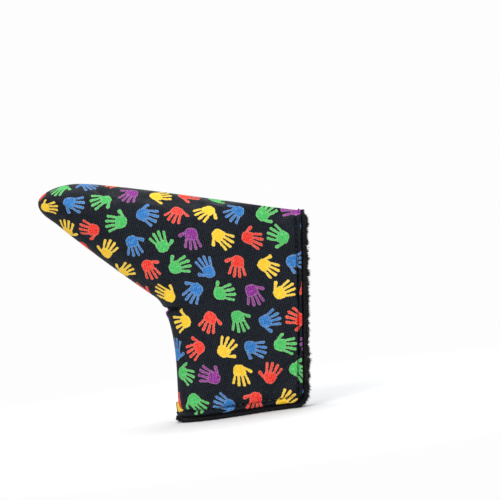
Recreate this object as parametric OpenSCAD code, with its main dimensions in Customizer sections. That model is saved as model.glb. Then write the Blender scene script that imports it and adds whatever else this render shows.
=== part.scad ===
// Putter head cover for a blade putter: two padded panels sewn along the toe, the crown and one
// side of the neck, open along the heel edge and the rim of the neck. Upright, as on a club held
// with its head up: +Z up, toe toward -X, heel toward +X, front panel toward -Y. The origin is
// the middle of the neck's rim, at the lowest edge of the plush.

/* [Outline] */
// toe tip to heel corner, along X
cover_len = 158; // [140:1:180]
// rim to the top of the toe
cover_h = 152; // [135:1:175]
// rim to the heel corner
heel_h = 119; // [108:1:130]
// width of the neck at its rim
neck_w = 76; // [66:1:90]
// how far the heel corner stands out past the neck
heel_lean = 13; // [4:1:20]
// height of the throat, where the toe's underside meets the neck
throat_h = 77.5; // [70:0.5:88]
// throat's reach past the neck's side
throat_out = 5.5; // [4:0.5:14]
// how far the neck narrows at its waist
waist_in = 2.3; // [0:0.1:5]

/* [Toe] */
// top of the toe to the toe tip, downward
nose_drop = 10; // [8:0.5:12]
// toe tip to the highest point, along X
nose_len = 22; // [18:1:28]
// toe tip to the start of the underside, downward
chin_drop = 14; // [11:0.5:16]
// toe tip to the start of the underside, along X
chin_len = 10.5; // [8:0.5:13]

/* [Thickness] */
// half the depth left inside for the putter's head
head_space = 13; // [11:0.5:16]
// half the depth left inside at the middle of the rim
rim_space = 9.5; // [7.5:0.5:11]
// half the gap between the linings along the heel edge, where the magnets hold it shut
heel_space = 0.5; // [0.3:0.1:1.5]
// reach of the rounding beside the seam
round_r = 20; // [16:0.5:26]
// width of the flat strip along the heel edge
heel_flat = 16; // [15:0.5:20]
// reach of the slope between that strip and the full thickness
heel_slope = 38; // [30:1:50]
// height over which the neck swells to the full thickness
rim_slope = 55; // [40:1:70]

/* [Layers] */
// outer faux leather
skin_t = 1; // [0.8:0.05:1.2]
// foam padding
foam_t = 2.7; // [2.3:0.05:3]
// plush lining, backing and pile
pile_t = 3; // [2.5:0.1:3.2]
// clearance between the layers
layer_gap = 0.25; // [0.2:0.01:0.3]

/* [Opening] */
// plush showing below the hem at the rim
plush_rim = 3.5; // [1:0.5:5]
// plush showing past the hem at the heel edge
plush_heel = 3; // [1:0.5:5]
// width of the turned hem, which holds no foam
hem_w = 3; // [2:0.5:3.5]
// fold line's end on the rim, from the neck's sewn side
fold_rim = 24; // [20:1:30]
// fold line's end on the heel edge, below the heel corner
fold_heel = 10; // [8:1:14]

/* [Stitches] */
// hem thread's thickness
thread_d = 0.7; // [0.5:0.05:0.9]
// length of one stitch
stitch_len = 3.4; // [2.5:0.1:4]
// pitch of the stitches
stitch_pitch = 5; // [4.5:0.5:7]
// clearance between a stitch and the skin
stitch_gap = 0.35; // [0.3:0.01:0.4]
// where the neck's stitches start, from its sewn side
rim_start = 6; // [5:0.5:8]
// seam thread's thickness
seam_d = 1; // [0.8:0.05:1.2]
// space between the two foam pads along the seam
seam_gap = 1.6; // [1.5:0.1:2]

/* [Magnets] */
// diameter
magnet_d = 12; // [10:0.5:12]
// thickness
magnet_t = 2; // [1.5:0.1:2.1]
// centre to the heel edge
magnet_in = 9; // [8:0.25:9.25]
// heel corner to the first magnet, along the heel edge
magnet_top = 50; // [49:1:54]
// pitch
magnet_pitch = 24; // [18:1:25]
// number on each side
magnet_count = 3; // [1:1:3]
// clearance around each magnet in the foam
magnet_gap = 0.3; // [0.2:0.05:0.4]

/* [Hidden] */

// depth of each layer's two faces below the outer surface
foam_0 = skin_t + layer_gap;
foam_1 = foam_0 + foam_t;
pile_0 = foam_1 + layer_gap;
pile_1 = pile_0 + pile_t;

// half the outer thickness of the head, of the rim's middle and of the heel edge
body_half = head_space + pile_1;
rim_half = rim_space + pile_1;
heel_half = heel_space + pile_1;

// points of the outline, seen from the front as [x, z]
heel_top = [neck_w / 2 + heel_lean, heel_h];
heel_low = [neck_w / 2, plush_rim];
neck_low = [-neck_w / 2, plush_rim];
nose = [heel_top[0] - cover_len, cover_h - nose_drop];
crown = [nose[0] + nose_len, cover_h];
chin = nose + [chin_len, -chin_drop];
throat = [-neck_w / 2 - throat_out, throat_h];
waist = [-neck_w / 2 + waist_in, (throat_h + plush_rim) / 2 + 4];
fold_low = neck_low + [fold_rim, 0];

function unit(v) = v / norm(v);
heel_dir = unit(heel_low - heel_top);
heel_out = [-heel_dir[1], heel_dir[0]];
fold_top = heel_top + fold_heel * heel_dir;
fold_dir = unit(fold_low - fold_top);

// seam as knots from the nose: [point, direction, handle before, handle after, steps after]
crown_slope = unit(heel_top - crown + [0, 3]);
top_knots = [
  [nose, [0, 1], 0, 6, 4],
  [crown, [1, 0], 12, 16, 16],
  [heel_top, unit(crown_slope - [0, 0.02]), 50, 0, 0]
];
under = unit(throat - chin);
low_knots = [
  [nose, [0, -1], 0, 6, 3],
  [chin, unit(under - [0.05, 0.05]), 5, 16, 6],
  [throat, unit(under + [0.04, 0.04]), 16, 7, 4],
  [waist, [0, -1], 15, 15, 5],
  [neck_low, [0, -1], 12, 0, 0]
];
heel_steps = 4;
rim_steps = 6;
rows = 24;
cols = 16;
flap_cols = 7;

function bezier(a, b, c, d, t) =
  pow(1 - t, 3) * a + 3 * t * pow(1 - t, 2) * b + 3 * t * t * (1 - t) * c + pow(t, 3) * d;
function dot(a, b) = a[0] * b[0] + a[1] * b[1];
function smooth(t) = let (s = max(0, min(1, t))) s * s * (3 - 2 * s);

// inward normal, side 1 on the top seam and -1 on the lower one
function inward(dir, side) = side * [dir[1], -dir[0]];

// knot moved in by the depth w; the last one slides along its open edge
function moved(k, i, w, side) =
  let (n = inward(k[i][1], side), edge = side > 0 ? heel_dir : [1, 0])
  i == len(k) - 1 ? k[i][0] + edge * w / dot(edge, n)
  : i == 0 ? k[i][0] + [w * 1.15, -w * 0.1] : k[i][0] + n * w;

// seam of a face at the depth w
function seam(k, w, side) =
  let (p = [for (i = [0:len(k) - 1]) moved(k, i, w, side)])
  [for (i = [0:len(k) - 2])
    let (ratio = norm(p[i + 1] - p[i]) / norm(k[i + 1][0] - k[i][0]),
         a = p[i] + k[i][1] * k[i][3] * ratio,
         b = p[i + 1] - k[i + 1][1] * k[i + 1][2] * ratio)
    for (s = [0:k[i][4] - (i < len(k) - 2 ? 1 : 0)]) bezier(p[i], a, b, p[i + 1], s / k[i][4])];

// ends of the fold line on the two open edges, moved out by e
function fold_end_top(e) = fold_top - fold_dir * e / dot(-fold_dir, heel_out);
function fold_end_low(e) = fold_low + fold_dir * e / -fold_dir[1];

// corner of the opening, moved out by both extensions
function corner(eh, er) =
  let (p = heel_low + heel_out * eh)
  p + heel_dir * (p[1] - (plush_rim - er)) / -heel_dir[1];

// seam with its last point moved out by e, then the open edge as far as the fold, closest by the seam
function line(a, b, n) = [for (s = [0:n]) a + (b - a) * pow(s / n, 1.7)];
function edge_line(k, w, e, side, fold_end, steps) =
  let (s = seam(k, w, side), n = len(s) - 1, dir = k[len(k) - 1][1], out = side > 0 ? heel_out : [0, -1])
  concat([for (i = [0:n - 1]) s[i]], line(s[n] + dir * e / dot(dir, out), fold_end, steps));
function tops(w, eh) = edge_line(top_knots, w, eh, 1, fold_end_top(eh), heel_steps);
function lows(w, er) = edge_line(low_knots, w, er, -1, fold_end_low(er), rim_steps);

// distance from a point to a run of points
function to_segment(p, a, b) =
  let (d = b - a, t = max(0, min(1, dot(p - a, d) / dot(d, d)))) norm(p - a - t * d);
function to_run(p, run) = min([for (i = [0:len(run) - 2]) to_segment(p, run[i], run[i + 1])]);

// half the thickness that the padding would have away from any seam
function full_half(p) =
  let (in_heel = dot(heel_top - p, heel_out), up = p[1] - plush_rim,
       wide = rim_half + (body_half - rim_half) * smooth((up - 8) / rim_slope))
  heel_half + (wide - heel_half) * smooth((in_heel - heel_flat) / heel_slope);

// rounding beside the seams, from 0 on a seam to 1 at the distance r
function rounding(p, top, low, r) =
  let (a = to_run(p, top), b = to_run(p, low),
       f = min(a, b) < 1e-6 ? 0 : pow(pow(a, -3) + pow(b, -3), -1 / 3), q = 1 - min(1, f / r))
  sqrt(1 - q * q);

// height of a face at the depth w over the point p
function height(p, w, top, low) = (full_half(p) - w) * rounding(p, top, low, round_r - w);

function spread(j) = (1 - cos(180 * j / cols)) / 2;

// one face of the panel short of the fold: the nose, then rows of points
function face(w, eh, er, least) =
  let (t = tops(w, eh), l = lows(w, er), ts = seam(top_knots, w, 1), ls = seam(low_knots, w, -1))
  concat([[t[0][0], -least, t[0][1]]],
    [for (i = [1:rows]) for (j = [0:cols])
      let (p = t[i] + (l[i] - t[i]) * spread(j))
      [p[0], -max(least, height(p, w, ts, ls)), p[1]]]);

// one face of the flap: a point at each end of the fold, and rows between
function opening(eh, er, j) =
  let (turn = 10, c = corner(eh, er), s = spread(j), m = spread(turn))
  j <= turn ? fold_end_top(eh) + (c - fold_end_top(eh)) * s / m
  : c + (fold_end_low(er) - c) * (s - m) / (1 - m);
function flap_face(w, eh, er) =
  let (ts = seam(top_knots, w, 1), ls = seam(low_knots, w, -1),
       a = fold_end_top(eh), b = fold_end_low(er))
  [for (j = [0:cols]) for (k = [0:(j == 0 || j == cols ? 0 : flap_cols)])
    let (d = a + (b - a) * spread(j), p = d + (opening(eh, er, j) - d) * k / flap_cols)
    [p[0], -height(p, w, ts, ls), p[1]]];

// closed solid between two faces with the same layout; quads and border as index lists
function flipped(f) = [for (i = [len(f) - 1:-1:0]) f[i]];
module shell(outer, inner, cells, border) {
  n = len(outer);
  polyhedron(points = concat(outer, inner), convexity = 8, faces = concat(
    [for (c = cells) flipped(c)],
    [for (c = cells) [for (i = c) i + n]],
    [for (i = [0:len(border) - 1])
      let (a = border[i], b = border[(i + 1) % len(border)])
      for (f = [[b, a, a + n], [b, a + n, b + n]]) f]));
}

function at(i, j) = i == 0 ? 0 : 1 + (i - 1) * (cols + 1) + j;
panel_cells = concat(
  [for (j = [0:cols - 1]) [0, at(1, j + 1), at(1, j)]],
  [for (i = [1:rows - 1]) for (j = [0:cols - 1])
    for (f = [[at(i, j), at(i, j + 1), at(i + 1, j + 1)], [at(i, j), at(i + 1, j + 1), at(i + 1, j)]]) f]);
panel_border = concat(
  [for (i = [0:rows]) at(i, 0)],
  [for (j = [1:cols]) at(rows, j)],
  [for (i = [rows - 1:-1:1]) at(i, cols)]);

function flap_at(j, k) =
  j == 0 ? 0 : j == cols ? 1 + (cols - 1) * (flap_cols + 1) : 1 + (j - 1) * (flap_cols + 1) + k;
flap_cells = concat(
  [for (k = [0:flap_cols - 1]) [0, flap_at(1, k), flap_at(1, k + 1)]],
  [for (j = [1:cols - 2]) for (k = [0:flap_cols - 1])
    for (f = [[flap_at(j, k), flap_at(j + 1, k), flap_at(j + 1, k + 1)],
              [flap_at(j, k), flap_at(j + 1, k + 1), flap_at(j, k + 1)]]) f],
  [for (k = [0:flap_cols - 1]) [flap_at(cols - 1, k), flap_at(cols, 0), flap_at(cols - 1, k + 1)]]);
flap_border = concat(
  [for (j = [0:cols]) flap_at(j, flap_cols)],
  [for (j = [cols - 1:-1:1]) flap_at(j, 0)]);

module panel(w0, w1, eh, er, least) {
  shell(face(w0, eh, er, least), face(w1, eh, er, least), panel_cells, panel_border);
}
module flap(w0, w1, eh, er) {
  shell(flap_face(w0, eh, er), flap_face(w1, eh, er), flap_cells, flap_border);
}
module back() { mirror([0, 1, 0]) children(); }

// centre of each magnet, in the foam's depth
magnet_y = -(heel_half - (foam_0 + foam_1) / 2);
magnet_points = [for (i = [0:magnet_count - 1])
  heel_top + heel_dir * (magnet_top + i * magnet_pitch) - heel_out * magnet_in];
module discs(d, t) {
  for (p = magnet_points)
    translate([p[0], magnet_y, p[1]]) rotate([90, 0, 0]) cylinder(d = d, h = t, center = true, $fn = 48);
}

// rod between two points
module rod(a, b, d) {
  v = b - a;
  translate(a) rotate([0, acos(v[2] / norm(v)), atan2(v[1], v[0])]) cylinder(d = d, h = norm(v), $fn = 16);
}

// row of stitches lying on the skin from a to b
module stitches(a, b) {
  ts = seam(top_knots, 0, 1);
  ls = seam(low_knots, 0, -1);
  length = norm(b - a);
  n = floor((length - 2 * hem_w) / stitch_pitch);
  d = unit(b - a);
  lift = thread_d / 2 + stitch_gap;
  for (i = [0:n - 1]) {
    mid = a + d * (length / 2 + (i - (n - 1) / 2) * stitch_pitch);
    p = mid - d * stitch_len / 2;
    q = mid + d * stitch_len / 2;
    rod([p[0], -height(p, 0, ts, ls) - lift, p[1]], [q[0], -height(q, 0, ts, ls) - lift, q[1]], thread_d);
  }
}

// the flap's hem stitches, a hem's width inside the opening
module hem_stitches() {
  c = corner(-hem_w, -hem_w);
  stitches(fold_end_top(-hem_w), c);
  stitches(c, fold_end_low(-hem_w));
}

// the same row on the neck, short of the fold and clear of the tight curve by the seam
module rim_stitches() {
  stitches(neck_low + [rim_start, hem_w], fold_end_low(-hem_w));
}

// dashes of thread along the seam, in the space between the two foam pads
module seam_stitches() {
  depth = (foam_0 + foam_1) / 2;
  for (run = [seam(top_knots, depth, 1), seam(low_knots, depth, -1)])
    for (i = [1:len(run) - 3])
      let (a = run[i], b = run[i + 1], s = unit(b - a) * 0.8)
      rod([a[0] + s[0], 0, a[1] + s[1]], [b[0] - s[0], 0, b[1] - s[1]], seam_d);
}

module front_skin() { color("#1b1d28") panel(0, skin_t, 0, 0, 0); }
module back_skin() { color("#22242f") back() panel(0, skin_t, 0, 0, 0); }
module front_foam() { color("#d9c58a") panel(foam_0, foam_1, -hem_w, -hem_w, seam_gap / 2); }
module back_foam() { color("#cdb878") back() panel(foam_0, foam_1, -hem_w, -hem_w, seam_gap / 2); }
module front_lining() { color("#3a3a3e") panel(pile_0, pile_1, plush_heel, plush_rim, 0); }
module back_lining() { color("#46464b") back() panel(pile_0, pile_1, plush_heel, plush_rim, 0); }
module seam_thread() { color("#b03030") seam_stitches(); }
module front_rim_thread() { color("#c0c0c8") rim_stitches(); }
module back_rim_thread() { color("#b4b4bc") back() rim_stitches(); }

module front_flap_skin() { color("#2a3550") flap(0, skin_t, 0, 0); }
module front_flap_foam() {
  color("#e5d39c") difference() {
    flap(foam_0, foam_1, -hem_w, -hem_w);
    discs(magnet_d + 2 * magnet_gap, 3 * foam_t);
  }
}
module front_flap_lining() { color("#55555a") flap(pile_0, pile_1, plush_heel, plush_rim); }
module front_hem_thread() { color("#c0c0c8") hem_stitches(); }
module front_magnets() { color("#8a8f96") discs(magnet_d, magnet_t); }

module back_flap_skin() { color("#334066") back() flap(0, skin_t, 0, 0); }
module back_flap_foam() {
  color("#eedfae") back() difference() {
    flap(foam_0, foam_1, -hem_w, -hem_w);
    discs(magnet_d + 2 * magnet_gap, 3 * foam_t);
  }
}
module back_flap_lining() { color("#606066") back() flap(pile_0, pile_1, plush_heel, plush_rim); }
module back_hem_thread() { color("#b4b4bc") back() hem_stitches(); }
module back_magnets() { color("#7c8188") back() discs(magnet_d, magnet_t); }

front_skin();
back_skin();
front_foam();
back_foam();
front_lining();
back_lining();
seam_thread();
front_rim_thread();
back_rim_thread();
front_flap_skin();
front_flap_foam();
front_flap_lining();
front_hem_thread();
front_magnets();
back_flap_skin();
back_flap_foam();
back_flap_lining();
back_hem_thread();
back_magnets();
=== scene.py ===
"""Looks of the putter head cover: two padded panels of printed faux leather with a plush lining.

Sizes are in millimetres in the row frame (x toward the heel, y toward the back, z up), and become
metres where a mesh is made. A panel is worked out for the front side; the back one is its mirror.
"""

import math

import bpy
import numpy as np
from mathutils import Matrix, Vector, noise

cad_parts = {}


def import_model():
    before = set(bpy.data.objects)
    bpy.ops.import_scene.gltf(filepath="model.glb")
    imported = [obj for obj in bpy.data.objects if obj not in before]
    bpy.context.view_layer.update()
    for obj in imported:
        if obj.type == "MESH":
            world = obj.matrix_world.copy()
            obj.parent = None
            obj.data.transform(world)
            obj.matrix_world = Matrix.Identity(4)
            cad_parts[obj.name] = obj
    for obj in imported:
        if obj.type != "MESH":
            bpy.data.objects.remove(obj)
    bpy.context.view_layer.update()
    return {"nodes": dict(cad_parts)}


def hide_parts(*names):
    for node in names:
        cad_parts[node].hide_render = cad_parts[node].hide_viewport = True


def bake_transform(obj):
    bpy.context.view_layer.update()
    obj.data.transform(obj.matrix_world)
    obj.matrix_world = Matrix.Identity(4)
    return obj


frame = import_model()
MM = 0.001

# ---------------------------------------------------------------- sizes, the same as the CAD's
NECK_W = 76.0
PLUSH_RIM, PLUSH_HEEL = 3.5, 3.0
HEEL_TOP = np.array([51.0, 119.0])
HEEL_LOW = np.array([NECK_W / 2, PLUSH_RIM])
NECK_LOW = np.array([-NECK_W / 2, PLUSH_RIM])
NOSE = np.array([-107.0, 142.0])
CROWN = np.array([-85.0, 152.0])
CHIN = np.array([-96.5, 128.0])
THROAT = np.array([-43.5, 77.5])
WAIST = np.array([-35.7, 44.5])
FOLD_RIM, FOLD_HEEL = 24.0, 10.0
LINING_OUT, LINING_IN = 4.2, 7.2  # depths of the lining's two faces below the cover's surface
LINING_SEAM = 1.3  # how far inside the seam the lining starts
BODY_HALF, RIM_HALF, HEEL_HALF = 20.2, 16.7, 7.7
ROUND_R, HEEL_FLAT, HEEL_SLOPE, RIM_SLOPE = 20.0, 16.0, 38.0, 55.0
HEM_W = 3.2
THREAD_D, STITCH_LEN, STITCH_PITCH = 0.7, 3.4, 5.0

# ---------------------------------------------------------------- sizes of the looks
EVEN = 0.3  # share of even spacing between the columns at the opening, the rest being close at the edges
FINE = 3  # fineness of the cover's grid
CORNER_R = 7.0  # rounding of the panel's lower heel corner
ROLL_R = 1.5  # radius of the turned hem's edge
PUFF_CAP = 1.6  # most that the cloth simulation may move the cover
CREASE = np.array([-38.2, 69.2]), np.array([-23.5, 68.5])  # ends of the fold pinched in at the throat
SEED = 7


def unit(v):
    return v / np.linalg.norm(v)


def smooth(t):
    t = np.clip(t, 0, 1)
    return t * t * (3 - 2 * t)


HEEL_DIR = unit(HEEL_LOW - HEEL_TOP)
HEEL_OUT = np.array([-HEEL_DIR[1], HEEL_DIR[0]])
DOWN = np.array([0.0, -1.0])
FOLD_TOP = HEEL_TOP + FOLD_HEEL * HEEL_DIR
FOLD_LOW = NECK_LOW + np.array([FOLD_RIM, 0])
FOLD_DIR = unit(FOLD_LOW - FOLD_TOP)

# seams as knots from the toe tip: point, direction, handle before, handle after, steps after
CROWN_DIR = unit(unit(HEEL_TOP - CROWN + np.array([0, 3])) - np.array([0, 0.02]))
UNDER = unit(THROAT - CHIN)
TOP_KNOTS = [
    (NOSE, np.array([0.0, 1.0]), 0, 6, 4),
    (CROWN, np.array([1.0, 0.0]), 12, 16, 16),
    (HEEL_TOP, CROWN_DIR, 50, 0, 0),
]
LOW_KNOTS = [
    (NOSE, np.array([0.0, -1.0]), 0, 6, 3),
    (CHIN, unit(UNDER - 0.05), 5, 16, 5),
    (THROAT, unit(UNDER + 0.04), 16, 7, 6),
    (WAIST, np.array([0.0, -1.0]), 15, 15, 4),
    (NECK_LOW, np.array([0.0, -1.0]), 12, 0, 0),
]
HEEL_STEPS, RIM_STEPS, CORNER_STEPS = 4, 6, 12


# ---------------------------------------------------------------- the panel's surface
def seam_run(knots, w, side, fine):
    """Points of a seam at the depth w below the surface; side is 1 on top and -1 below."""
    moved = []
    for i, (p, d, *_) in enumerate(knots):
        n = side * np.array([d[1], -d[0]])
        if i == len(knots) - 1:
            edge = HEEL_DIR if side > 0 else np.array([1.0, 0.0])
            moved.append(p + edge * w / (edge @ n))
        else:
            moved.append(p + (np.array([w * 1.15, -w * 0.1]) if i == 0 else n * w))
    points = []
    for i, (p, d, _, after, steps) in enumerate(knots[:-1]):
        ratio = np.linalg.norm(moved[i + 1] - moved[i]) / np.linalg.norm(knots[i + 1][0] - p)
        a = moved[i] + d * after * ratio
        b = moved[i + 1] - knots[i + 1][1] * knots[i + 1][2] * ratio
        for s in range(steps * fine):
            t = s / (steps * fine)
            points.append((1 - t) ** 3 * moved[i] + 3 * t * (1 - t) ** 2 * a
                          + 3 * t * t * (1 - t) * b + t**3 * moved[i + 1])
    return np.array(points + [moved[-1]])


def run_to(points, end, steps, power=1.0):
    s = (np.arange(1, steps + 1) / steps) ** power
    return np.vstack([points, points[-1] + (end - points[-1]) * s[:, None]])


def edges(w, out_heel, out_rim, fine):
    """The panel's upper and lower edge from the toe tip to its lower heel corner."""
    top, low = seam_run(TOP_KNOTS, w, 1, fine), seam_run(LOW_KNOTS, w, -1, fine)
    # the seams' last stretch gives or takes the length
    give = (np.arange(3 * fine + 1) / (3 * fine))[:, None] ** 2
    top[-len(give):] += give * CROWN_DIR * out_heel / (CROWN_DIR @ HEEL_OUT)
    low[-len(give):] += give * DOWN * out_rim
    corner = HEEL_LOW + HEEL_OUT * out_heel
    corner = corner + HEEL_DIR * (corner[1] - (PLUSH_RIM - out_rim)) / -HEEL_DIR[1]
    top = run_to(top, FOLD_TOP - FOLD_DIR * out_heel / (-FOLD_DIR @ HEEL_OUT), HEEL_STEPS * fine, 1.4)
    low = run_to(low, FOLD_LOW + FOLD_DIR * out_rim / -FOLD_DIR[1], RIM_STEPS * fine, 1.4)
    top = run_to(top, corner - HEEL_DIR * CORNER_R, CORNER_STEPS * fine)
    low = run_to(low, corner - np.array([CORNER_R, 0]), CORNER_STEPS * fine)
    return top, low, corner


def to_run(p, run, side):
    """Distance from points to a run of points, and the direction in from it; side as for a seam."""
    a, d = run[:-1], run[1:] - run[:-1]
    normal = side * np.stack([d[:, 1], -d[:, 0]], 1) / np.linalg.norm(d, axis=1)[:, None]
    away, nearest = np.empty_like(p), np.empty(len(p), int)
    for first in range(0, len(p), 4096):  # in blocks, to spare memory
        part = slice(first, first + 4096)
        q = p[part, None] - a
        q -= np.clip((q * d).sum(-1) / (d * d).sum(-1), 0, 1)[..., None] * d
        nearest[part] = (q * q).sum(-1).argmin(1)
        away[part] = q[np.arange(len(q)), nearest[part]]
    distance = np.maximum(np.linalg.norm(away, axis=1), 1e-6)
    close = distance < 0.5
    return distance, np.where(close[:, None], normal[nearest], away / distance[:, None])


RUNS = {}


def seam_field(p, w=0.0):
    """Distance to the seams at the depth w, smooth where the two are as near, and its gradient."""
    if w not in RUNS:
        RUNS[w] = seam_run(TOP_KNOTS, w, 1, 6), seam_run(LOW_KNOTS, w, -1, 6)
    (a, away_a), (b, away_b) = (to_run(p.reshape(-1, 2), run, side) for run, side in zip(RUNS[w], (1, -1)))
    f = (a**-3 + b**-3) ** (-1 / 3)
    gradient = away_a * ((f / a) ** 4)[:, None] + away_b * ((f / b) ** 4)[:, None]
    return f.reshape(p.shape[:-1]), gradient.reshape(p.shape)


def seam_distance(p, w=0.0):
    return seam_field(p, w)[0]


def full_half(p):
    in_heel = (HEEL_TOP - p) @ HEEL_OUT
    wide = RIM_HALF + (BODY_HALF - RIM_HALF) * smooth((p[..., 1] - PLUSH_RIM - 8) / RIM_SLOPE)
    return HEEL_HALF + (wide - HEEL_HALF) * smooth((in_heel - HEEL_FLAT) / HEEL_SLOPE)


def half_at(p, w=0.0, f=None):
    """Half the cover's thickness at the depth w over plane points, f being their seam distance."""
    q = 1 - np.minimum(1, (seam_distance(p, w) if f is None else f) / (ROUND_R - w))
    return (full_half(p) - w) * np.sqrt(1 - q * q)


def panel_grid(w, out_heel, out_rim, fine, cols):
    """Plane points (rows, columns, x and z) of one face, its last row round the lower heel corner."""
    top, low, corner = edges(w, out_heel, out_rim, fine)
    rows = len(top)
    j = np.arange(cols + 1) / cols
    close, even = (1 - np.cos(math.pi * j)) / 2, j
    first_open = sum(k[4] for k in TOP_KNOTS) * fine
    opened = smooth((np.arange(rows) - first_open + 4 * fine) / (8 * fine))[:, None]
    s = close + (even - close) * opened * EVEN
    grid = top[:, None] + (low - top)[:, None] * s[..., None]
    # ribs near the corner bow out toward it, so the last one is the corner's arc
    a, b = top[-1], low[-1]
    t = j[:, None]
    arc = (1 - t) ** 2 * a + 2 * t * (1 - t) * corner + t * t * b
    bow = arc - (a + (b - a) * t)
    pull = np.clip((np.arange(rows) - rows + 1 + 3 * fine) / (3 * fine), 0, 1) ** 2
    return grid + bow * pull[:, None, None], top, low


def border_of(rows, cols):
    """Indexes round a grid whose first row is one point: down one side, along the end, back up."""
    def at(i, j):
        return 0 if i == 0 else 1 + (i - 1) * (cols + 1) + j

    return [at(i, 0) for i in range(rows)] + [at(rows - 1, j) for j in range(1, cols + 1)] + [
        at(i, cols) for i in range(rows - 2, 0, -1)]


def open_part(rows, cols, fine):
    """1 along the open edges of a grid's border and 0 along its seams."""
    i = np.arange(rows)
    top, low = (1.0 * (i >= sum(k[4] for k in knots) * fine) for knots in (TOP_KNOTS, LOW_KNOTS))
    return np.concatenate([top, np.ones(cols), low[-2:0:-1]])


def grid_faces(rows, cols):
    faces = [(0, 1 + j, 2 + j) for j in range(cols)]
    for i in range(1, rows - 1):
        base = 1 + (i - 1) * (cols + 1)
        faces += [(base + j, base + cols + 1 + j, base + cols + 2 + j, base + j + 1) for j in range(cols)]
    return faces


def closed(half, fine):
    """Half thicknesses brought to 0 on a grid's sewn edges."""
    i = np.arange(len(half))
    for column, knots in ((0, TOP_KNOTS), (-1, LOW_KNOTS)):
        half[i <= sum(k[4] for k in knots) * fine, column] = 0
    return half


def flatten(grid):
    """Grid (rows, columns, n) as vertices, with the first row as one."""
    return np.vstack([grid[0, :1], grid[1:].reshape(-1, grid.shape[-1])])


def unflatten(points, rows, cols):
    return np.concatenate([np.repeat(points[:1], cols + 1, 0)[None],
                           points[1:].reshape(rows - 1, cols + 1, -1)])


def outward_2d(points):
    """Outward directions in the plane along a closed border, which runs clockwise from the toe."""
    d = np.roll(points, -1, 0) - np.roll(points, 1, 0)
    n = np.stack([-d[:, 1], d[:, 0]], 1)
    return n / np.maximum(np.linalg.norm(n, axis=1), 1e-9)[:, None]


# ---------------------------------------------------------------- cloth simulation of a panel
def puffed(grid, half, seed):
    """How far the padding's pressure moves the panel's points, as (rows, columns, 3)."""
    rows, cols = grid.shape[0], grid.shape[1] - 1
    p = flatten(np.stack([grid[..., 0], -half, grid[..., 1]], -1))
    me = bpy.data.meshes.new("puff")
    me.from_pydata((p * MM).tolist(), [], grid_faces(rows, cols))
    me.update()
    ob = bpy.data.objects.new("puff", me)
    bpy.context.scene.collection.objects.link(ob)
    rng = np.random.default_rng(seed)
    for v in me.vertices:  # a little unevenness lets the cloth choose its wrinkles
        v.co.y += 0.00005 * rng.standard_normal()
    pins = ob.vertex_groups.new(name="pins")
    for i in border_of(rows, cols):
        pins.add([i], 1.0, "REPLACE")
    cloth = ob.modifiers.new("cloth", "CLOTH")
    cloth.settings.vertex_group_mass = "pins"
    cloth.settings.quality = 6
    cloth.settings.mass = 0.3
    cloth.settings.tension_stiffness = 40
    cloth.settings.compression_stiffness = 40
    cloth.settings.shear_stiffness = 15
    cloth.settings.bending_stiffness = 2.5
    cloth.settings.shrink_min = -0.025
    cloth.settings.use_pressure = True
    cloth.settings.uniform_pressure_force = 1.5
    cloth.settings.effector_weights.gravity = 0
    cloth.collision_settings.use_collision = False
    for f in range(1, 21):
        bpy.context.scene.frame_set(f)
    done = ob.evaluated_get(bpy.context.evaluated_depsgraph_get())
    q = np.array([v.co for v in done.data.vertices]) / MM
    bpy.context.scene.frame_set(1)
    bpy.data.objects.remove(ob)
    bpy.data.meshes.remove(me)
    move = q - p
    size = np.maximum(np.linalg.norm(move, axis=-1, keepdims=True), 1e-6)
    return unflatten(move * np.tanh(size / PUFF_CAP) * PUFF_CAP / size, rows, cols)


def resample(field, rows, cols):
    """A grid field at another number of rows and columns."""
    for axis, n in ((0, rows), (1, cols)):
        old = field.shape[axis]
        t = np.linspace(0, old - 1, n)
        k = np.minimum(t.astype(int), old - 2)
        a, b = np.take(field, k, axis), np.take(field, k + 1, axis)
        shape = [1] * field.ndim
        shape[axis] = n
        f = (t - k).reshape(shape)
        field = a * (1 - f) + b * f
    return field


def noise_at(p, scale, seed):
    return np.array([noise.noise(Vector((x / scale, z / scale, seed))) for x, z in p.reshape(-1, 2)]
                    ).reshape(p.shape[:-1])


# ---------------------------------------------------------------- details pressed into the cover
def crease_coords(p):
    """How far points lie along the throat's crease, from 0 at the seam to 1, and above it in mm."""
    a, b = CREASE
    length = np.linalg.norm(b - a)
    d = (b - a) / length
    return (p - a) @ d / length, (p - a) @ np.array([-d[1], d[0]])


def creased(p, f):
    """Depth of the throat's crease, with a soft lip on each side."""
    along, above = crease_coords(p)
    fade = np.clip(1 - along, 0, 1) ** 0.5 * smooth(1.5 + along * 4)
    deep = 2.7 * np.exp(-((above / 1.0) ** 2))
    lips = 0.9 * np.exp(-(((above - 4.2) / 2.4) ** 2)) + 0.5 * np.exp(-(((above + 3.6) / 2.0) ** 2))
    return (deep * smooth(f / 2.5) - lips * smooth(f / 6)) * fade


def sunk(p, f, seed):
    """Depth of the stitched hem's groove, the throat's crease and the seam's puckers."""
    in_heel, in_rim = (HEEL_TOP - p) @ HEEL_OUT, p[..., 1] - PLUSH_RIM
    near = np.minimum(in_heel, in_rim)
    past_seam = smooth((f - 1.5) / 4)
    groove = 1.4 * np.exp(-(((near - HEM_W) / 0.6) ** 2))
    swell = -0.5 * np.exp(-(((near - 1.4) / 0.9) ** 2)) - 0.45 * np.exp(-(((near - 7.0) / 3.0) ** 2))
    ripple = noise_at(p, 4.2, seed) * 0.55 + noise_at(p, 9.0, seed + 3) * 0.6
    pucker = ripple * np.exp(-(((f - 3) / 5.0) ** 2)) * np.clip(f / 2, 0, 1)
    broad = noise_at(p, 26.0, seed + 9) * 0.7 * np.clip(f / 8, 0, 1) * smooth(near / 12)
    return (groove + swell) * past_seam + creased(p, f) + pucker + broad


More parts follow.
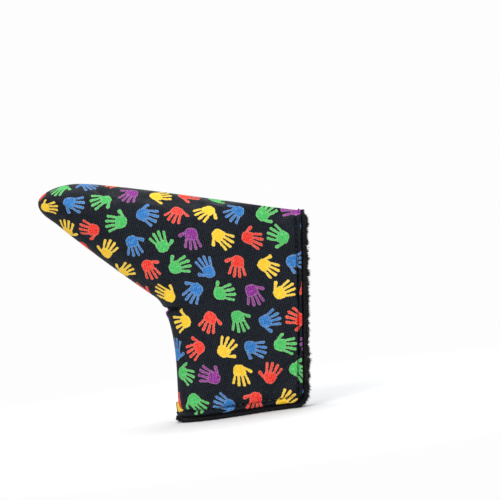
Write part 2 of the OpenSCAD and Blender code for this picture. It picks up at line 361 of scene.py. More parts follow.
def nudged(p):
    """Plane points with the throat pinched in and the hem flared out beside the neck's sewn seam."""
    along, above = crease_coords(p)
    pinch = 3.1 * np.exp(-((above / 1.1) ** 2)) * np.exp(-((np.maximum(along, 0) * 3.4) ** 2))
    lip = 0.5 * np.exp(-(((above + 3.0) / 1.8) ** 2)) * np.exp(-((np.maximum(along, 0) * 2.5) ** 2))
    side = np.exp(-(((p[..., 0] + NECK_W / 2) / 11.0) ** 2))
    up = p[..., 1] - PLUSH_RIM
    flare = side * (2.0 * smooth((HEM_W + 0.3 - up) / 3.0) - 0.8 * np.exp(-(((up - HEM_W - 0.5) / 2.2) ** 2)))
    q = p.copy()
    q[..., 0] += pinch - lip - flare
    return q


def flat_map(p, f, outward):
    """Where each point lies on the flat cut panel, so the print runs round the edges unstretched."""
    q = 1 - np.minimum(1, f / ROUND_R)
    arc = np.arcsin(q) * (ROUND_R + full_half(p)) / 2
    return p + outward * np.clip(arc - q * ROUND_R, 0, 12)[..., None]


# ---------------------------------------------------------------- meshes
def mesh_object(name, points, faces, material, uv=None, smooth_faces=True):
    me = bpy.data.meshes.new(name)
    me.from_pydata((np.asarray(points) * MM).tolist(), [], [tuple(int(i) for i in f) for f in faces])
    me.validate()
    me.update()
    if uv is not None:
        layer = me.uv_layers.new(name="flat_cut")
        loops = np.zeros(len(me.loops), np.int32)
        me.loops.foreach_get("vertex_index", loops)
        layer.data.foreach_set("uv", np.asarray(uv, np.float32)[loops].ravel())
    me.polygons.foreach_set("use_smooth", [smooth_faces] * len(me.polygons))
    me.materials.append(material)
    ob = bpy.data.objects.new(name, me)
    bpy.context.scene.collection.objects.link(ob)
    return ob


def mirrored(points, faces, back):
    if not back:
        return points, faces
    return points * [1, -1, 1], [f[::-1] for f in faces]


def cover_mesh(name, material, back, move):
    """One printed panel, from the seam round its puffed face to the hem's inner edge."""
    fine, cols = 3 * FINE, 48 * FINE
    grid, _, _ = panel_grid(0, -ROLL_R, -ROLL_R, fine, cols)
    rows = grid.shape[0]
    f, gradient = seam_field(grid)
    half = closed(half_at(grid, 0, f), fine)
    depth = sunk(grid, f, SEED + (20 if back else 0))
    placed = nudged(grid)
    base = np.stack([placed[..., 0], -half, placed[..., 1]], -1)
    shift = resample(move, rows, cols + 1) * np.clip(f / 4, 0, 1)[..., None]
    steep = 1 - np.minimum(1, f / ROUND_R)
    gx, gz = gradient[..., 0], gradient[..., 1]
    inward = np.stack([gx * steep, np.sqrt(1 - steep**2), gz * steep], -1)
    inward /= np.maximum(np.linalg.norm(inward, axis=-1, keepdims=True), 1e-6)
    face = base + shift + inward * depth[..., None]
    # the two panels dip into the seam between them
    dip = 0.55 * np.exp(-((half / 0.9) ** 2))
    face[..., 0] += gx * dip
    face[..., 2] += gz * dip
    face[..., 1] = np.where(half == 0, 0, np.minimum(face[..., 1], -0.02))
    flat = flat_map(grid, f, -gradient)

    points = flatten(face)
    uv = flatten(flat)
    faces = grid_faces(rows, cols)
    border = border_of(rows, cols)
    plane = flatten(placed)[border]
    out = outward_2d(plane)
    opened = open_part(rows, cols, fine)
    room = np.minimum(1, flatten(half[..., None])[border, 0] / (2.4 * ROLL_R)) * opened
    ring = points[border]
    ring_uv = uv[border]
    last = np.array(border)
    loops = [(ROLL_R * math.sin(a), ROLL_R * (1 - math.cos(a)), ROLL_R * a)
             for a in np.radians([25, 50, 75, 100, 125, 155, 180])]
    loops += [(-2.5, 2 * ROLL_R, 7.5), (-7.0, 2 * ROLL_R - 0.2, 12.0)]
    for k, (o, deep, run) in enumerate(loops):
        tuck = 0.35 * (k + 1)
        move_out = out * (o * opened - tuck * (1 - opened))[:, None]
        new = ring.copy()
        new[:, 0] += move_out[:, 0]
        new[:, 2] += move_out[:, 1]
        new[:, 1] = np.minimum(ring[:, 1] + deep * room, -0.05 * opened)
        start = len(points)
        points = np.vstack([points, new])
        uv = np.vstack([uv, ring_uv + out * run])
        now = np.arange(start, start + len(border))
        n = len(border)
        faces += [(last[(i + 1) % n], last[i], now[i], now[(i + 1) % n]) for i in range(n)]
        last = now
    points, faces = mirrored(points, faces, back)
    uv = uv * ([-1, 1] if back else [1, 1]) + ([37, 23] if back else [0, 0])
    ob = mesh_object(name, points, faces, material, uv)
    return ob


def lining_mesh(name, material, back):
    """The plush as a closed slab behind the cover, round at the edges that show."""
    fine, cols = 3, 40
    outer, _, _ = panel_grid(LINING_SEAM, PLUSH_HEEL - 0.9, PLUSH_RIM - 0.9, fine, cols)
    inner, _, _ = panel_grid(LINING_IN, PLUSH_HEEL - 0.9, PLUSH_RIM - 0.9, fine, cols)
    rows = outer.shape[0]
    seed = SEED + 40 + (20 if back else 0)
    f = seam_distance(outer, LINING_SEAM)
    near = np.minimum((HEEL_TOP - outer) @ HEEL_OUT, outer[..., 1] - PLUSH_RIM)
    # below the cover, but swelling out again past the hem
    below = (LINING_OUT - LINING_SEAM) * (1 - smooth(-near / 2)) * smooth(f / 6)
    below += np.maximum(creased(outer, seam_distance(outer)), 0)
    a = np.stack([nudged(outer)[..., 0], below - half_at(outer, LINING_SEAM, f), outer[..., 1]], -1)
    b = np.stack([nudged(inner)[..., 0], -half_at(inner, LINING_IN), inner[..., 1]], -1)
    lumps = noise_at(inner, 5.0, seed) * 0.5 + noise_at(inner, 2.0, seed + 1) * 0.35
    b[..., 1] += np.clip(lumps, -0.45, 0.45)
    b[..., 1] = np.minimum(b[..., 1], -0.2)
    a[..., 1] = np.minimum(a[..., 1], b[..., 1] - 0.3)
    points = np.vstack([flatten(a), flatten(b)])
    count = len(points) // 2
    faces = grid_faces(rows, cols)
    faces += [tuple(i + count for i in f[::-1]) for f in faces]
    border = np.array(border_of(rows, cols))
    plane = flatten(outer)[border]
    out = outward_2d(plane)
    opened = smooth(seam_distance(plane) / 4)[:, None]
    last = border
    n = len(border)
    for t in (0.2, 0.5, 0.8):
        edge = points[border] * (1 - t) + points[border + count] * t
        bulge = out * 0.9 * math.sin(math.pi * t) ** 0.5 * opened
        edge[:, 0] += bulge[:, 0]
        edge[:, 2] += bulge[:, 1]
        start = len(points)
        points = np.vstack([points, edge])
        now = np.arange(start, start + n)
        faces += [(last[(i + 1) % n], last[i], now[i], now[(i + 1) % n]) for i in range(n)]
        last = now
    far = border + count
    faces += [(last[(i + 1) % n], last[i], far[i], far[(i + 1) % n]) for i in range(n)]
    points, faces = mirrored(points, faces, back)
    return mesh_object(name, points, faces, material)


TUFT_FACES = np.array([(0, 1, 4, 3), (1, 2, 5, 4), (2, 0, 3, 5)]), np.array([(3, 4, 6), (4, 5, 6), (5, 3, 6)])


def tufts(base, way, length, width, bend):
    """Small curved spikes of pile: two rings of three points and a tip each."""
    d = way / np.linalg.norm(way, axis=1, keepdims=True)
    side = np.cross(d, [0.3, 0.9, 0.2])
    side /= np.linalg.norm(side, axis=1, keepdims=True)
    other = np.cross(d, side)
    length, width = length[:, None], width[:, None]
    ring = [(side * math.cos(a) + other * math.sin(a)) * width for a in (0, 2.1, 4.2)]
    mid = base + d * length * 0.5 + bend * 0.3
    points = np.stack([base + r for r in ring] + [mid + r * 0.85 for r in ring] + [base + d * length + bend], 1)
    first = np.arange(len(base))[:, None, None] * 7
    faces = [tuple(f) for part in TUFT_FACES for f in (first + part).reshape(-1, part.shape[1])]
    return points.reshape(-1, 3), faces


def pile_object(name, material, back, parts):
    points, faces = tufts(*parts)
    points[:, 1] = np.minimum(points[:, 1], -0.05)
    points[:, 2] = np.maximum(points[:, 2], 0.02)
    return mesh_object(name, *mirrored(points, faces, back), material)


def edge_pile(name, material, back):
    """Tufts of pile in uneven clumps all along the lining's edges at the heel and the rim."""
    seed = SEED + 60 + (1 if back else 0)
    rng = np.random.default_rng(seed)
    top, low, corner = edges(0, 0, 0, 12)
    start, low_start = (sum(k[4] for k in knots) * 12 for knots in (TOP_KNOTS, LOW_KNOTS))
    t = np.linspace(0, 1, 14)[1:-1, None]
    arc = (1 - t) ** 2 * top[-1] + 2 * t * (1 - t) * corner + t * t * low[-1]
    path = np.vstack([top[start:], arc, low[low_start:][::-1]])
    step = np.diff(path, axis=0)
    size = np.linalg.norm(step, axis=1)
    total = np.concatenate([[0], np.cumsum(size)])
    count = 8000
    s, across = rng.uniform(0, total[-1] - 1e-6, count), rng.uniform(0, 1, count)
    k = np.searchsorted(total, s, side="right") - 1
    p = path[k] + step[k] * ((s - total[k]) / size[k])[:, None]
    out = np.stack([-step[k, 1], step[k, 0]], 1) / size[k, None]
    ease = np.clip(seam_distance(p) / 5, 0.45, 1)
    clump = np.array([noise.noise(Vector((a / 2.6, b * 1.5, seed))) + 0.6 * noise.noise(Vector((a / 7, 0, seed + 5)))
                      for a, b in zip(s, across)])
    y = -((half_at(p) - 1.6) * across + np.maximum(half_at(p, LINING_IN), 0.3) * (1 - across))
    reach = np.where(out[:, 0] > 0.7, PLUSH_HEEL, PLUSH_RIM) - 1.3 + 0.9 * clump
    start_in = 1.5 * (1 - ease) * rng.uniform(0, 1, count)
    place = nudged(p) + out * (reach * ease - start_in)[:, None]
    base = np.stack([place[:, 0], y, place[:, 1]], 1)
    way = np.stack([out[:, 0], -(across - 0.4) * 1.1, out[:, 1]], 1) + rng.normal(0, 0.34, (count, 3))
    length = rng.uniform(1.3, 2.8, count) * (0.4 + 0.6 * ease) * (1 + 0.6 * clump)
    bend = rng.normal(0, 0.3, (count, 3)) - [0, 0, 0.1]
    return pile_object(name, material, back, (base, way, length, rng.uniform(0.15, 0.3, count), bend))


def inside_pile(name, material, back):
    """Tufts over the lining's inner face, as far in as the open cover shows it."""
    rng = np.random.default_rng(SEED + 80 + (1 if back else 0))
    grid, _, _ = panel_grid(LINING_IN, PLUSH_HEEL - 1, PLUSH_RIM - 1, 3, 40)
    start = sum(k[4] for k in TOP_KNOTS) * 3 - 14
    count = 14000
    corner = grid[start:-1, :-1].reshape(-1, 2)
    right, down = (g.reshape(-1, 2) - corner for g in (grid[start:-1, 1:], grid[start + 1:, :-1]))
    area = np.abs(right[:, 0] * down[:, 1] - right[:, 1] * down[:, 0])
    k = rng.choice(len(area), count, p=area / area.sum())
    p = corner[k] + right[k] * rng.uniform(0, 1, (count, 1)) + down[k] * rng.uniform(0, 1, (count, 1))
    place = nudged(p)
    base = np.stack([place[:, 0], -np.maximum(half_at(p, LINING_IN), 0.3) - 0.3, place[:, 1]], 1)
    comb = noise_at(p, 6.0, SEED)[:, None] * [1.2, 0, 0.8]
    way = comb + [0.1, 1.0, -0.5] + rng.normal(0, 0.4, (count, 3))
    length = rng.uniform(1.0, 2.0, count)
    bend = rng.normal(0, 0.25, (count, 3)) - [0, 0, 0.3]
    return pile_object(name, material, back, (base, way, length, rng.uniform(0.28, 0.5, count), bend))


def stitch_mesh(name, material, back):
    """Sewn stitches lying in the hem's groove."""
    top, low, corner = edges(0, -HEM_W, -HEM_W, 12)
    start = sum(k[4] for k in TOP_KNOTS) * 12
    low_start = sum(k[4] for k in LOW_KNOTS) * 12
    inner = corner
    points, faces = [], []
    for a, b in ((top[start] + HEEL_DIR * 3, inner), (inner, low[low_start] + [6.0, 0])):
        length = np.linalg.norm(b - a)
        d = (b - a) / length
        n = int((length - 2 * HEM_W) / (STITCH_PITCH * 0.72))
        for i in range(n):
            mid = a + d * (length / 2 + (i - (n - 1) / 2) * STITCH_PITCH * 0.72)
            first = len(points)
            for t in np.linspace(-1, 1, 7):
                p = mid + d * t * STITCH_LEN * 0.36
                y = -float(half_at(p[None])[0]) + 0.5 + 0.6 * t * t
                r = THREAD_D / 2 * math.sqrt(max(0.12, 1 - t**6))
                side = np.array([-d[1], d[0]])
                for u in range(8):
                    c, s = math.cos(u * math.pi / 4) * r, math.sin(u * math.pi / 4) * r
                    points.append([p[0] + side[0] * c, y + s, p[1] + side[1] * c])
            for k in range(6):
                for u in range(8):
                    v = (u + 1) % 8
                    faces.append((first + k * 8 + u, first + k * 8 + v, first + k * 8 + 8 + v, first + k * 8 + 8 + u))
            faces.append(tuple(first + u for u in range(7, -1, -1)))
            faces.append(tuple(first + 48 + u for u in range(8)))
    points, faces = mirrored(np.array(points), faces, back)
    return mesh_object(name, points, faces, material)


# ---------------------------------------------------------------- material helpers
class Nodes:
    """Short names for building a node material."""

    def __init__(self, name):
        self.mat = bpy.data.materials.new(name)
        self.mat.use_nodes = True
        self.tree = self.mat.node_tree
        self.bsdf = self.tree.nodes["Principled BSDF"]

    def put(self, socket, value):
        if isinstance(value, bpy.types.NodeSocket):
            self.tree.links.new(value, socket)
        elif value is not None:
            socket.default_value = value

    def math(self, op, a, b=None, c=None, clamp=False):
        n = self.tree.nodes.new("ShaderNodeMath")
        n.operation, n.use_clamp = op, clamp
        for i, v in enumerate((a, b, c)):
            self.put(n.inputs[i], v)
        return n.outputs[0]

    def vec(self, op, a, b=None, scale=None):
        n = self.tree.nodes.new("ShaderNodeVectorMath")
        n.operation = op
        self.put(n.inputs[0], a)
        self.put(n.inputs[1], b)
        if scale is not None:
            self.put(n.inputs["Scale"], scale)
        return n.outputs["Value"] if op in ("LENGTH", "DOT_PRODUCT", "DISTANCE") else n.outputs["Vector"]

    def join(self, x, y, z=0.0):
        n = self.tree.nodes.new("ShaderNodeCombineXYZ")
        for i, v in enumerate((x, y, z)):
            self.put(n.inputs[i], v)
        return n.outputs[0]

    def split(self, v):
        n = self.tree.nodes.new("ShaderNodeSeparateXYZ")
        self.put(n.inputs[0], v)
        return n.outputs[0], n.outputs[1], n.outputs[2]

    def noise(self, vector, scale, detail=2.0, rough=0.5):
        n = self.tree.nodes.new("ShaderNodeTexNoise")
        self.put(n.inputs["Vector"], vector)
        n.inputs["Scale"].default_value = scale
        n.inputs["Detail"].default_value = detail
        n.inputs["Roughness"].default_value = rough
        return n.outputs["Fac"], n.outputs["Color"]

    def white(self, vector):
        n = self.tree.nodes.new("ShaderNodeTexWhiteNoise")
        n.noise_dimensions = "3D"
        self.put(n.inputs["Vector"], vector)
        return n.outputs["Value"], n.outputs["Color"]

    def turn(self, vector, angle):
        n = self.tree.nodes.new("ShaderNodeVectorRotate")
        n.rotation_type = "Z_AXIS"
        self.put(n.inputs["Vector"], vector)
        self.put(n.inputs["Angle"], angle)
        return n.outputs[0]

    def ramp(self, value, stops, constant=False):
        n = self.tree.nodes.new("ShaderNodeValToRGB")
        n.color_ramp.interpolation = "CONSTANT" if constant else "LINEAR"
        while len(n.color_ramp.elements) < len(stops):
            n.color_ramp.elements.new(0.5)
        for e, (place, color) in zip(n.color_ramp.elements, stops):
            e.position, e.color = place, (*color, 1)
        self.put(n.inputs[0], value)
        return n.outputs[0]

    def mix(self, fac, a, b, blend="MIX"):
        n = self.tree.nodes.new("ShaderNodeMix")
        n.data_type, n.blend_type = "RGBA", blend
        self.put(n.inputs["Factor"], fac)
        self.put(n.inputs["A"], a if isinstance(a, bpy.types.NodeSocket) else (*a, 1))
        self.put(n.inputs["B"], b if isinstance(b, bpy.types.NodeSocket) else (*b, 1))
        return n.outputs["Result"]

    def map(self, value, a, b, c, d, smooth_step=False):
        n = self.tree.nodes.new("ShaderNodeMapRange")
        n.interpolation_type = "SMOOTHSTEP" if smooth_step else "LINEAR"
        self.put(n.inputs["Value"], value)
        for key, v in zip(("From Min", "From Max", "To Min", "To Max"), (a, b, c, d)):
            self.put(n.inputs[key], v)
        return n.outputs["Result"]

    def bump(self, height, distance, strength=1.0, normal=None):
        n = self.tree.nodes.new("ShaderNodeBump")
        n.inputs["Strength"].default_value = strength
        n.inputs["Distance"].default_value = distance
        self.put(n.inputs["Height"], height)
        self.put(n.inputs["Normal"], normal)
        return n.outputs[0]

    def uv(self, name):
        n = self.tree.nodes.new("ShaderNodeUVMap")
        n.uv_map = name
        return n.outputs[0]

    def object_coords(self):
        return self.tree.nodes.new("ShaderNodeTexCoord").outputs["Object"]


# ---------------------------------------------------------------- the print: scattered handprints
PRINT_W, PRINT_H = 17.8, 16.6  # mm between prints along a row, and between rows
RED, YELLOW, BLUE = (0.8, 0.024, 0.01), (0.86, 0.57, 0.012), (0.004, 0.18, 0.5)
GREEN, PURPLE = (0.05, 0.49, 0.11), (0.25, 0.005, 0.27)
PRINT_COLORS = [RED, YELLOW, BLUE, GREEN, PURPLE, YELLOW, RED, GREEN, BLUE]
FINGERS = [  # base, tip and the two radii of each finger of one hand, in mm
    ((-3.1, -0.2), (-4.9, 4.2), 0.62, 0.82),
    ((-1.2, 0.6), (-1.9, 5.9), 0.7, 0.9),
    ((1.0, 0.6), (1.3, 6.2), 0.7, 0.9),
    ((3.0, -0.2), (4.3, 5.0), 0.62, 0.84),
    ((3.4, -4.1), (6.6, -1.9), 0.6, 1.1),
]
PALM_AT, PALM_HALF, PALM_ROUND = (0.0, -3.0, 0.0), (3.95, 3.5, 0.0), 2.5


def capsule(n, p, a, b, r0, r1):
    """Signed distance to a tapered finger."""
    d = (b[0] - a[0], b[1] - a[1], 0.0)
    size = d[0] ** 2 + d[1] ** 2
    rel = n.vec("SUBTRACT", p, (*a, 0.0))
    t = n.math("DIVIDE", n.vec("DOT_PRODUCT", rel, d), size, clamp=True)
    nearest = n.vec("SCALE", d, scale=t)
    gap = n.vec("LENGTH", n.vec("SUBTRACT", rel, nearest))
    return n.math("SUBTRACT", gap, n.math("MULTIPLY_ADD", t, r1 - r0, r0))


def handprints(n, flat):
    """Mask, colour and depth of ink of the print at the flat panel's coordinates, in mm."""
    x, y, _ = n.split(flat)
    wave = n.math("MULTIPLY", n.math("SINE", n.math("MULTIPLY", x, 0.045)), 3.2)
    row_y = n.math("DIVIDE", n.math("ADD", y, wave), PRINT_H)
    row = n.math("FLOOR", row_y)
    col_x = n.math("ADD", n.math("DIVIDE", x, PRINT_W), n.math("MULTIPLY", row, 0.41))
    col = n.math("FLOOR", col_x)
    local = n.join(n.math("MULTIPLY", n.math("SUBTRACT", n.math("SUBTRACT", col_x, col), 0.5), PRINT_W),
                   n.math("MULTIPLY", n.math("SUBTRACT", n.math("SUBTRACT", row_y, row), 0.5), PRINT_H))
    value, color = n.white(n.join(col, row, 3.0))
    shake = n.vec("MULTIPLY", n.vec("SUBTRACT", color, (0.5, 0.5, 0.5)), (2.2, 1.8, 0.0))
    p = n.turn(n.vec("ADD", local, shake), n.math("MULTIPLY", value, 2 * math.pi))
    hx, hy, _ = n.split(p)
    flip = n.math("MULTIPLY_ADD", n.math("GREATER_THAN", n.split(color)[2], 0.5), 2.0, -1.0)
    p = n.join(n.math("MULTIPLY", hx, flip), hy)
    ragged = n.vec("SCALE", n.vec("SUBTRACT", n.noise(flat, 1.1, 2)[1], (0.5, 0.5, 0.5)), scale=1.1)
    p = n.vec("ADD", p, n.vec("MULTIPLY", ragged, (1, 1, 0)))
    # the palm is a box with round corners, narrower at the wrist
    px, py, _ = n.split(n.vec("ABSOLUTE", n.vec("SUBTRACT", p, PALM_AT)))
    wrist = n.map(n.split(p)[1], -1.0, -7.0, 0.0, 0.9)
    over = n.join(n.math("MAXIMUM", n.math("SUBTRACT", n.math("ADD", px, wrist), PALM_HALF[0] - PALM_ROUND), 0.0),
                  n.math("MAXIMUM", n.math("SUBTRACT", py, PALM_HALF[1] - PALM_ROUND), 0.0))
    dist = n.math("SUBTRACT", n.vec("LENGTH", over), PALM_ROUND)
    for a, b, r0, r1 in FINGERS:
        dist = n.math("SMOOTH_MIN", dist, capsule(n, p, a, b, r0, r1), 0.5)
    dist = n.math("ADD", dist, n.math("MULTIPLY_ADD", n.noise(flat, 2.3, 3)[0], 0.7, -0.33))
    mask = n.map(dist, -0.12, 0.12, 1.0, 0.0)
    count = len(PRINT_COLORS)
    pick = n.math("MODULO", n.math("ADD", n.math("MULTIPLY_ADD", row, 5.0, col), 100.0 * count), count)
    pick = n.math("DIVIDE", n.math("ADD", pick, 0.5), count)
    ink = n.ramp(pick, [(i / count, c) for i, c in enumerate(PRINT_COLORS)], constant=True)
    # watercolour: a paler rim, pooled and dry spots inside
    rim = n.map(dist, -0.5, -0.1, 0.0, 1.0, True)
    pool = n.noise(flat, 0.6, 4, 0.62)[0]
    light = n.mix(0.2, ink, (1.0, 0.88, 0.62))
    deep = n.mix(0.4, ink, n.mix(1.0, ink, ink, "MULTIPLY"))
    ink = n.mix(n.map(pool, 0.4, 0.6, 0.0, 1.0), deep, n.mix(n.map(pool, 0.55, 0.75, 0.0, 0.7), ink, light))
    ink = n.mix(n.math("MULTIPLY", rim, 0.75), ink, light)
    return mask, ink, pool


def printed_leather():
    """Faux leather with a fine crossed grain and the print on it, the grain's raised lines painted paler as a painted
    highlight.
    """
    n = Nodes("printed_faux_leather")
    flat = n.uv("flat_cut")
    mask, ink, pool = handprints(n, flat)
    bent = n.vec("ADD", flat, n.vec("SCALE", n.vec("SUBTRACT", n.noise(flat, 0.5, 2)[1], (0.5, 0.5, 0.5)), scale=0.9))
    x, y, _ = n.split(n.turn(bent, 0.32))
    lines = []
    for axis, pitch in ((x, 1.15), (y, 0.98)):
        wave = n.math("SINE", n.math("MULTIPLY", axis, 2 * math.pi / pitch))
        lines.append(n.math("POWER", n.math("MULTIPLY_ADD", wave, 0.5, 0.5), 5.0))
    broken = n.noise(n.vec("MULTIPLY", bent, (1.0, 0.35, 1.0)), 1.6, 2)[0]
    weave = n.math("ADD", n.math("MULTIPLY", lines[0], n.map(broken, 0.4, 0.6, 0.0, 1.0)),
                   n.math("MULTIPLY", lines[1], n.map(broken, 0.6, 0.4, 0.0, 1.0)))
    grain = n.noise(flat, 6.0, 3, 0.6)[0]
    navy = n.ramp(n.noise(flat, 0.03, 3)[0], [(0.3, (0.0018, 0.0034, 0.0058)), (0.7, (0.0034, 0.0056, 0.0088))])
    # painted highlight: the navy is painted paler along the weave's raised lines, where they catch the light
    thread = n.mix(n.math("MULTIPLY", weave, 0.5), navy, (0.06, 0.07, 0.088))
    # painted highlight on the print as well: the ink is painted paler along the weave's raised lines
    ink = n.mix(n.math("MULTIPLY", weave, 0.14), ink, (1.0, 0.95, 0.85))
    n.put(n.bsdf.inputs["Base Color"], n.mix(mask, thread, ink))
    rough = n.math("MULTIPLY_ADD", grain, 0.16, 0.44)
    n.put(n.bsdf.inputs["Roughness"], n.math("ADD", rough, n.math("MULTIPLY", mask, 0.08)))
    height = n.math("ADD", n.math("MULTIPLY", weave, 0.8), n.math("MULTIPLY", grain, 0.5))
    n.put(n.bsdf.inputs["Normal"], n.bump(height, 0.00009, 0.75))
    n.bsdf.inputs["Specular IOR Level"].default_value = 0.07
    return n.mat


def plush():
    """Black short pile: dark, soft and a little grey where it catches the light."""
    n = Nodes("black_plush")
    p = n.object_coords()
    clump = n.noise(p, 420.0, 3, 0.6)[0]
    hair = n.noise(n.vec("MULTIPLY", p, (1.0, 1.0, 0.45)), 2600.0, 3, 0.7)[0]
    n.put(n.bsdf.inputs["Base Color"], n.ramp(n.math("MULTIPLY", clump, hair),
                                              [(0.12, (0.002, 0.002, 0.0024)), (0.4, (0.014, 0.014, 0.016))]))
    n.put(n.bsdf.inputs["Roughness"], n.map(hair, 0.3, 0.7, 0.8, 1.0))
    height = n.math("ADD", n.math("MULTIPLY", clump, 1.0), n.math("MULTIPLY", hair, 0.6))
    n.put(n.bsdf.inputs["Normal"], n.bump(height, 0.0006, 0.9))
    n.bsdf.inputs["Specular IOR Level"].default_value = 0.15
    n.bsdf.inputs["Sheen Weight"].default_value = 0.25
    n.bsdf.inputs["Sheen Roughness"].default_value = 0.45
    n.bsdf.inputs["Sheen Tint"].default_value = (0.45, 0.46, 0.52, 1)
    return n.mat


def thread_material(name, dark, light):
    """Twisted polyester sewing thread."""
    n = Nodes(name)
    x, y, z = n.split(n.object_coords())
    along = n.math("ADD", n.math("ADD", x, y), n.math("MULTIPLY", z, 1.3))
    twist = n.math("MULTIPLY_ADD", n.math("SINE", n.math("MULTIPLY", along, 9000.0)), 0.5, 0.5)
    n.put(n.bsdf.inputs["Base Color"], n.mix(twist, dark, light))
    n.put(n.bsdf.inputs["Roughness"], n.map(twist, 0, 1, 0.62, 0.48))
    n.put(n.bsdf.inputs["Normal"], n.bump(twist, 0.00008, 0.8))
    n.bsdf.inputs["Sheen Weight"].default_value = 0.15
    return n.mat


def nickel():
    """Nickel-plated magnet faces, with fine scuffs."""
    n = Nodes("nickel_plate")
    p = n.object_coords()
    scuff = n.noise(n.vec("MULTIPLY", p, (1.0, 1.0, 7.0)), 700.0, 4, 0.6)[0]
    n.put(n.bsdf.inputs["Base Color"], n.ramp(scuff, [(0.3, (0.42, 0.41, 0.39)), (0.7, (0.62, 0.61, 0.58))]))
    n.put(n.bsdf.inputs["Roughness"], n.map(scuff, 0.3, 0.7, 0.22, 0.4))
    n.put(n.bsdf.inputs["Normal"], n.bump(scuff, 0.00003, 0.4))
    n.bsdf.inputs["Metallic"].default_value = 1.0
    return n.mat


def bends(ob):
    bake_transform(ob)


def magnet_copy(side, material):
    """The side's hidden magnets, as a copy of the part's mesh with the given material."""
    node = frame["nodes"][side + "_magnets"]
    me = node.data.copy()
    me.materials.clear()
    me.materials.append(material)
    ob = bpy.data.objects.new(side + "_closure_magnets", me)
    bpy.context.scene.collection.objects.link(ob)
    return ob


leather, pile = printed_leather(), plush()
hem_thread = thread_material("hem_thread", (0.004, 0.0045, 0.008), (0.018, 0.02, 0.03))
seam_thread = thread_material("seam_thread", (0.01, 0.01, 0.012), (0.04, 0.04, 0.045))
plate = nickel()

coarse, _, _ = panel_grid(0, 0, 0, 2, 32)
for side, back in (("front", False), ("back", True)):
    move = puffed(coarse, half_at(coarse), SEED + (5 if back else 0))
    cover = cover_mesh(side + "_cover", leather, back, move)
    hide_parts(side + "_skin", side + "_flap_skin", side + "_foam", side + "_flap_foam")
    bends(cover)

    lining = lining_mesh(side + "_plush_lining", pile, back)
    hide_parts(side + "_lining", side + "_flap_lining")
    bends(lining)

    for make, place in ((edge_pile, "_plush_edge"), (inside_pile, "_plush_inside")):
        tufted = make(side + place, pile, back)
        bends(tufted)

    stitches = stitch_mesh(side + "_hem_stitches", hem_thread, back)
    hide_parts(side + "_hem_thread", side + "_rim_thread")
    bends(stitches)

    magnets = magnet_copy(side, plate)
    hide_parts(side + "_magnets")
    bends(magnets)

for slot in frame["nodes"]["seam_thread"].material_slots:
    slot.material = seam_thread


# ---------------------------------------------------------------- floor, light and camera
def floor_material():
    """Pale floor that fades out into the background."""
    n = Nodes("pale_floor")
    x, y, _ = n.split(n.object_coords())
    far = n.vec("LENGTH", n.join(n.math("SUBTRACT", x, -0.01), y))
    fade = n.map(far, 0.12, 0.34, 0.0, 1.0, True)
    speck = n.noise(n.object_coords(), 300.0, 3)[0]
    n.put(n.bsdf.inputs["Base Color"], n.ramp(speck, [(0.3, (0.78, 0.78, 0.78)), (0.7, (0.81, 0.81, 0.81))]))
    n.bsdf.inputs["Roughness"].default_value = 0.9
    n.bsdf.inputs["Specular IOR Level"].default_value = 0.1
    clear = n.tree.nodes.new("ShaderNodeBsdfTransparent")
    blend = n.tree.nodes.new("ShaderNodeMixShader")
    n.put(blend.inputs[0], fade)
    n.put(blend.inputs[1], n.bsdf.outputs[0])
    n.put(blend.inputs[2], clear.outputs[0])
    n.put(n.tree.nodes["Material Output"].inputs["Surface"], blend.outputs[0])
    return n.mat


def floor():
    rings, around, reach = 12, 64, 360.0
    points = [[0, 0, 0]]
    for r in range(1, rings + 1):
        points += [[reach * r / rings * math.cos(2 * math.pi * a / around),
                    reach * r / rings * math.sin(2 * math.pi * a / around), 0] for a in range(around)]
    faces = [(0, 1 + a, 1 + (a + 1) % around) for a in range(around)]
    for r in range(rings - 1):
        for a in range(around):
            b = (a + 1) % around
            i, k = 1 + r * around, 1 + (r + 1) * around
            faces.append((i + a, k + a, k + b, i + b))
    ob = mesh_object("floor", np.array(points, float), faces, floor_material())
    ob.location.z = -0.0002


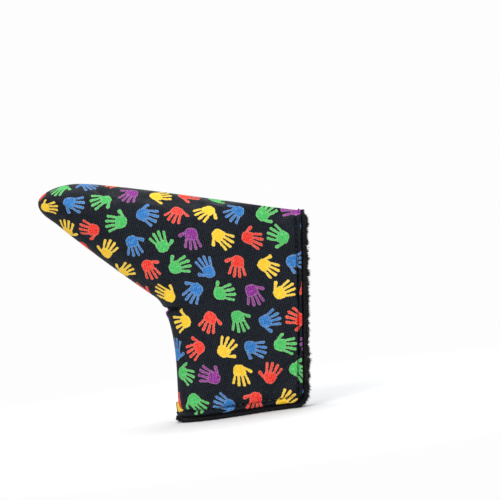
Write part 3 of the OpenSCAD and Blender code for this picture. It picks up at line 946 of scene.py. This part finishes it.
def world():
    """White to the camera, softer white as light."""
    w = bpy.data.worlds.new("studio")
    bpy.context.scene.world = w
    w.use_nodes = True
    t = w.node_tree
    t.nodes.clear()
    out, mixer = t.nodes.new("ShaderNodeOutputWorld"), t.nodes.new("ShaderNodeMixShader")
    light, seen = t.nodes.new("ShaderNodeBackground"), t.nodes.new("ShaderNodeBackground")
    light.inputs["Color"].default_value = (0.95, 0.97, 1.0, 1)
    light.inputs["Strength"].default_value = 0.7
    seen.inputs["Color"].default_value = (0.985, 0.985, 0.985, 1)
    path = t.nodes.new("ShaderNodeLightPath")
    t.links.new(path.outputs["Is Camera Ray"], mixer.inputs[0])
    t.links.new(light.outputs[0], mixer.inputs[1])
    t.links.new(seen.outputs[0], mixer.inputs[2])
    t.links.new(mixer.outputs[0], out.inputs["Surface"])


def area_light(name, place, aim, size, power, color=(1, 1, 1)):
    data = bpy.data.lights.new(name, "AREA")
    data.shape, data.size, data.energy, data.color = "DISK", size, power, color
    ob = bpy.data.objects.new(name, data)
    ob.location = place
    ob.rotation_euler = (Vector(aim) - Vector(place)).to_track_quat("-Z", "Y").to_euler()
    bpy.context.scene.collection.objects.link(ob)


VIEW_CENTRE = Vector((0.0174, 0.0, 0.0986))
VIEW_WIDTH, VIEW_FROM, TILT, RISE = 0.3044, 1.9, math.radians(7.2), math.radians(2.5)


def camera():
    """Far off along the front, turned as the picture shows the cover."""
    data = bpy.data.cameras.new("camera")
    data.sensor_width = 36
    data.lens = 36 * VIEW_FROM / VIEW_WIDTH
    ob = bpy.data.objects.new("camera", data)
    bpy.context.scene.collection.objects.link(ob)
    away = Vector((0, -math.cos(RISE), math.sin(RISE))) * VIEW_FROM
    look = Matrix.Rotation(math.pi / 2 - RISE, 4, "X") @ Matrix.Rotation(-TILT, 4, "Z")
    ob.matrix_world = Matrix.Translation(VIEW_CENTRE + away) @ look
    bpy.context.scene.camera = ob


floor()
world()
area_light("key", (-0.45, -0.75, 0.75), (0, 0, 0.08), 0.7, 6.5, (1.0, 0.985, 0.96))
area_light("fill", (0.7, -0.7, 0.3), (0, 0, 0.08), 0.9, 2.6, (0.94, 0.97, 1.0))
area_light("top", (-0.1, 0.15, 0.9), (0, 0, 0.08), 0.6, 3.2)
area_light("rear", (0.3, 0.9, 0.5), (0, 0, 0.08), 0.9, 3.0)
camera()
bpy.context.scene.view_settings.view_transform = "Standard"
